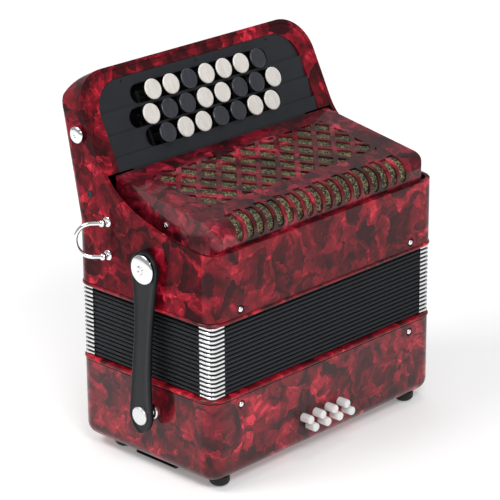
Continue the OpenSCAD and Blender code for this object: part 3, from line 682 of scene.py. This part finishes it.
for k in range(FOLDS):
    fold(k, FOLDS_Z0 + k * PITCH)
    corner_caps(k, FOLDS_Z0 + k * PITCH)
bellows_frame("bass_frame", "bass_bellows_frame", "bass_end", BASS_TOP + GASKET, BASS_TOP)
bellows_frame("treble_frame", "treble_bellows_frame", "treble_end", FOLDS_Z1, TREBLE_Z - GASKET)

# ---------------------------------------------------------------- buttons

TREBLE_CAP = ((0, 4.96), (7.1, 4.96), (7.5, 5.08), (7.66, 5.30), (7.66, 5.66), (7.55, 5.97), (7.25, 6.24),
              (6.85, 6.40), (6.45, 6.44), (6.0, 6.38), (5.3, 6.35), (3.0, 6.42), (0, 6.46))
BASS_SHAPE = ((0, -5.0), (3.27, -5.0), (3.29, 6.9), (3.2, 7.45), (2.95, 7.85), (2.5, 8.04), (0, 8.12))
AIR_SHAPE = ((0, -3), (5.02, -3), (5.05, 3.3), (4.8, 4.1), (4.2, 4.55), (0, 4.62))

keys = [(s, (i - (count - 1) / 2) * KEY_PITCH) for s, count in zip(ROW_S, ROW_COUNT) for i in range(count)]
for number, ((s, x), white) in enumerate(zip(keys, WHITE), 1):
    lathe(f"treble_cap_{number}", TREBLE_CAP, board_point(s, x), BOARD_OUT,
          WHITE_CAP if white else BLACK_CAP, f"treble_key_{number}_body", 44, None)
for i in range(8):
    row, place = divmod(i, 4)
    at = (BASS_ROW_X[row] + (place - 1.5) * BASS_PITCH, -HALF_D, BASS_ROW_Z[row])
    lathe(f"bass_cap_{i + 1}", BASS_SHAPE, at, -Y, BASS_CAP, f"bass_button_{i + 1}_body", 32, None)
lathe("air_cap", AIR_SHAPE, (AIR_X, HALF_D, AIR_Z), Y, BASS_CAP, "air_valve_body", 36, None)

# ---------------------------------------------------------------- side fittings

DISC = ((0, 0), (10.8, 0), (10.85, 0.5), (10.5, 1.0), (9.6, 1.45), (7.6, 2.0), (5.2, 2.4), (3.9, 2.5),
        (3.6, 2.2), (3.3, 2.2), (3.25, 3.2), (2.9, 3.7), (2.2, 3.9), (1.35, 3.85), (1.2, 2.9), (0, 2.9))
PIVOT = ((0, -1.4), (6, -1.4), (6, 2.5), (3, 2.5), (3, 7.6), (0, 7.6))
STUD = ((0, -1.2), (3.5, -1.2), (3.5, 1.5), (5.7, 1.6), (6.25, 1.9), (6.3, 2.4), (6.0, 3.0), (5.2, 3.6),
        (3.6, 4.05), (2.0, 4.1), (1.8, 3.3), (0, 3.3))
PLUG = ((0, -1.2), (2.9, -1.2), (2.9, 0.5), (2.5, 0.85), (1.9, 0.75), (0, 0.6))
BALL = [(BALL_R * math.sin(math.radians(a)), RING_OFF - BALL_R * math.cos(math.radians(a)))
        for a in range(42, 181, 12)]
RING_POST = [(0, -1.2), (3.6, -1.2), (3.8, 0.3), (3.3, 0.8), (1.9, 1.2)] + BALL
SNAP_CAP = ((0, -0.8), (6.9, -0.8), (7.05, 0.5), (6.85, 1.2), (6.3, 1.6), (5.6, 1.7), (0, 1.75))
SNAP_STUD = ((0, -1.4), (6.0, -1.4), (6.1, 1.2), (5.4, 2.0), (3.4, 2.2), (3.2, 4.4), (3.3, 6.6), (2.9, 8.1),
             (2.2, 8.4), (0, 8.4))


def strap_rise(z):
    """How far the strap bows out at height z."""
    t = min(max((STRAP_Z - z) / (STRAP_Z - SNAP_Z), 0.0), 1.0)
    return STRAP_BOW * (1 - math.cos(math.pi * t)) / 2


def strap_half_width(z):
    """Half the strap's width at height z: round head, narrow waist, rounded foot."""
    if z >= STRAP_Z:
        return math.sqrt(max(STRAP_HEAD ** 2 - (z - STRAP_Z) ** 2, 0.04))
    t = (STRAP_Z - z) / (STRAP_Z - SNAP_Z)
    if t <= 1:
        wide = STRAP_HEAD if t < 0.5 else STRAP_FOOT
        return STRAP_WAIST + (wide - STRAP_WAIST) * (2 * t - 1) ** 2
    return max(STRAP_FOOT * (1 - ((SNAP_Z - z) / STRAP_TOE) ** 1.7) ** 0.62, 0.2)


def strap_mesh(name, side, body, node):
    """The moulded strap with its raised rims, lofted from the head down to the foot."""
    end_step, waist_steps = 9, 30
    heights = [STRAP_Z + STRAP_HEAD * math.sin(math.radians(a)) for a in range(90, -1, -end_step)]
    heights += [STRAP_Z - (STRAP_Z - SNAP_Z) * i / waist_steps for i in range(1, waist_steps + 1)]
    heights += [SNAP_Z - (STRAP_TOE - 0.1) * math.sin(math.radians(a)) for a in range(end_step, 91, end_step)]
    verts = []
    for z in heights:
        w = strap_half_width(z)
        k = min(1.0, w / 4.0)
        inner = HALF_W + STRAP_OFF + strap_rise(z)
        half = [(w - 0.7 * k, 0.0), (w, 0.8), (w, 2.9), (w - 0.4 * k, 3.6), (w - 1.0 * k, 3.95),
                (w - 1.6 * k, 3.85), (w - 2.1 * k, 3.35), (w - 2.5 * k, 3.15), (w * 0.4 * k, 3.25)]
        loop = half + [(-y, h) for y, h in reversed(half)]
        verts += [(side * (inner + h), STRAP_Y + y, z) for y, h in loop]
    return add_piece(name, verts, skin(len(heights), len(loop)), STRAP, body, 50, node)


def ring_line(side):
    """The middle line of one D-shaped ring, from its lower eye to its upper eye."""
    reach = Vector((side * math.cos(RING_SWING), math.sin(RING_SWING), 0))
    hub = Vector((side * (HALF_W + RING_OFF), RING_Y, RING_Z))
    eye, middle = 0.12, 0.5
    line = [hub + reach * (RING_REACH * t) - Z * RING_HALF for t in (eye, middle)]
    line += [hub + reach * (RING_REACH + RING_HALF * math.cos(math.radians(a)))
             + Z * RING_HALF * math.sin(math.radians(a)) for a in range(-90, 91, 9)]
    line += [hub + reach * (RING_REACH * t) + Z * RING_HALF for t in (middle, eye)]
    return line


for side, label in ((-1, "left"), (1, "right")):
    out, wall = X * side, side * HALF_W
    strap_body, strap_node = f"{label}_bellows_strap_body", f"{label}_bellows_strap"
    snap_x = side * (HALF_W + STRAP_OFF + STRAP_BOW + STRAP_T - 0.6)
    strap_mesh(f"{label}_strap", side, strap_body, strap_node)
    lathe(f"{label}_snap_cap", SNAP_CAP, (snap_x, STRAP_Y, SNAP_Z), out, SILVER, strap_body, 44, strap_node)
    lathe(f"{label}_disc", DISC, (side * DISC_X, STRAP_Y, STRAP_Z), out, CHROME, "treble_end", 56,
          "strap_fittings")
    lathe(f"{label}_pivot", PIVOT, (wall, STRAP_Y, STRAP_Z), out, CHROME, "treble_end", 32, "strap_fittings")
    lathe(f"{label}_stud", STUD, (wall, STUD_Y, STUD_Z), out, CHROME, "treble_end", 40, "strap_fittings")
    lathe(f"{label}_plug", PLUG, (wall, PLUG_Y, PLUG_Z), out, RUBBER, "treble_end", 28, "strap_fittings")
    for i, end in enumerate((-1, 1)):
        lathe(f"{label}_ring_post_{i + 1}", RING_POST, (wall, RING_Y, RING_Z + end * RING_HALF), out,
              CHROME, "treble_end", 32, "strap_fittings")
    tube(f"{label}_ring_wire", ring_line(side), RING_WIRE_R, CHROME, f"{label}_ring_body", 20,
         f"{label}_ring")
    lathe(f"{label}_snap_stud", SNAP_STUD, (wall, STRAP_Y, SNAP_Z), out, CHROME, "bass_end", 36,
          "snap_studs")

# ---------------------------------------------------------------- pins, screws, feet, hand strap

PIN = ((0, -2.0), (2.3, -2.0), (2.3, -0.6), (2.0, 0.1), (1.3, 0.6), (0, 0.8))
SCREW = ((0, -2.6), (1.2, -2.6), (1.2, 0), (2.4, 0.0), (2.45, 0.5), (2.1, 0.95), (1.3, 1.1), (0.9, 1.05),
         (0.75, 0.45), (0, 0.45))
SMALL_SCREW = ((0, -1.5), (0.85, -1.5), (0.85, 0.1), (0.6, 0.3), (0.3, 0.2), (0, 0.1))
FOOT = ((0, FOOT_H), (7.3, FOOT_H), (7.5, 7.3), (7.5, 3.6), (7.2, 2.5), (6.3, 1.5), (4.8, 0.5), (3.4, 0.08),
        (0, 0))
COVER_SCREW = ((0, 5), (1.6, 5), (1.6, 0), (3, 0), (2.9, -0.6), (2.2, -1.1), (0.8, -1.2), (0.6, -0.6),
               (0, -0.6))

pin_places = [(sx, sy) for sy in (-1, 1) for sx in (-1, 1)]
for label, z, body, node in (("bass", BASS_PIN_Z, "bass_end", "bass_frame_pins"),
                             ("treble", TREBLE_PIN_Z, "treble_end", "treble_screws")):
    for i, (sx, sy) in enumerate(pin_places):
        lathe(f"{label}_pin_{i}", PIN, (sx * PIN_X, sy * HALF_D, z), Y * sy, CHROME, body, 24, node)
for i, side in enumerate((-1, 1)):
    lathe(f"grille_screw_{i + 1}", SCREW, (side * GRILLE_HALF_W, GRILLE_SCREW_Y, GRILLE_SCREW_Z), X * side,
          CHROME, "treble_end", 28, "treble_screws")
for i, x in enumerate((-BOARD_SCREW_X, 0, BOARD_SCREW_X)):
    lathe(f"board_screw_{i + 1}", SMALL_SCREW, board_point(BOARD_SCREW_S, x), BOARD_OUT, LEVER_SHADE_AND_SCREW_BLACK,
          "treble_end", 20, "treble_screws")
for i, (x, y) in enumerate([(x, y) for y in FOOT_Y for x in (-FOOT_X, FOOT_X)]):
    lathe(f"foot_{i + 1}", FOOT, (x, y, 0), Z, RUBBER, "bass_end", 40, "rubber_feet")
for i, (x, y) in enumerate([(x, y) for x in (-COVER_SCREW_X, 0, COVER_SCREW_X)
                            for y in (-COVER_SCREW_Y, COVER_SCREW_Y)]):
    lathe(f"cover_screw_{i + 1}", COVER_SCREW, (x, y, FOOT_H), Z, STEEL, "bass_end", 24, "end_cover_screws")
shell("palm_strap", "hand_strap", 0.4, STRAP, "bass_end")
shell("strap_brackets", "hand_strap_brackets", 0.35, STRAP, "bass_end")

# ---------------------------------------------------------------- CAD nodes that stay

STAY = {"grille_cloth": CLOTH, "treble_soundboard": WOOD, "treble_reed_blocks": WOOD, "bass_soundboard": WOOD,
        "bass_reed_blocks": WOOD, "axle_posts": WOOD, "key_axle": STEEL, "air_valve": BASS_CAP}
# the key levers are made near-black as painted shade
STAY.update({f"treble_key_{i}": LEVER_SHADE_AND_SCREW_BLACK for i in range(1, len(WHITE) + 1)})
STAY.update({f"bass_button_{i}": BASS_CAP for i in range(1, 9)})
for node, material in STAY.items():
    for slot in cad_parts[node].material_slots:
        slot.material = material

# ---------------------------------------------------------------- floor and light, in metres

FLOOR_HALF = 6


def softbox(name, place, aim, size, power):
    """A rectangular light at place, turned toward aim."""
    light = bpy.data.lights.new(name, "AREA")
    light.shape = "RECTANGLE"
    light.size, light.size_y = size
    light.energy = power
    obj = link(name, light)
    obj.location = place
    obj.rotation_euler = (Vector(aim) - Vector(place)).to_track_quat("-Z", "Y").to_euler()


floor_mesh = bpy.data.meshes.new("floor")
floor_mesh.from_pydata([(sx * FLOOR_HALF, sy * FLOOR_HALF, 0) for sx, sy in map(corner_signs, range(4))],
                       [], [(0, 1, 2, 3)])
floor_mesh.materials.append(pale_floor())
floor = link("floor", floor_mesh)

world = bpy.data.worlds.new("studio")
world.use_nodes = True
world.node_tree.nodes["Background"].inputs["Color"].default_value = (1, 1, 1, 1)
world.node_tree.nodes["Background"].inputs["Strength"].default_value = 0.40
bpy.context.scene.world = world

softbox("key", (-0.7, -1.2, 1.4), (0, 0, 0.15), (0.8, 0.5), 15)
softbox("edge", (-1.0, 0.5, 1.4), (0, 0, 0.2), (0.9, 0.45), 12)
softbox("top", (0.3, 0.0, 1.9), (0, 0, 0.1), (1.0, 0.7), 5)

# ---------------------------------------------------------------- camera, from the photo's side

AZIMUTH, ELEVATION, ROLL = math.radians(-46.0), math.radians(20.55), math.radians(-0.40)
DISTANCE, AIM_RIGHT, AIM_UP, LENS = 1775.4, -6.98, 63.05, 170.9

back = Vector((math.sin(AZIMUTH) * math.cos(ELEVATION), -math.cos(AZIMUTH) * math.cos(ELEVATION),
               math.sin(ELEVATION)))
right = (-back).cross(Z).normalized()
up = right.cross(-back)
target = right * AIM_RIGHT + up * AIM_UP + Vector((0, CASE_Y, BASS_TOP))
rolled_right = right * math.cos(ROLL) + up * math.sin(ROLL)
rolled_up = up * math.cos(ROLL) - right * math.sin(ROLL)
turn = Matrix((rolled_right, rolled_up, back)).transposed().to_4x4()

camera = link("camera", bpy.data.cameras.new("camera"))
camera.data.lens, camera.data.sensor_width = LENS, 36
camera.data.clip_end = 50
camera.matrix_world = Matrix.Translation((target + back * DISTANCE) * MM) @ turn
bpy.context.scene.camera = camera
bpy.context.scene.view_settings.view_transform = "Standard"
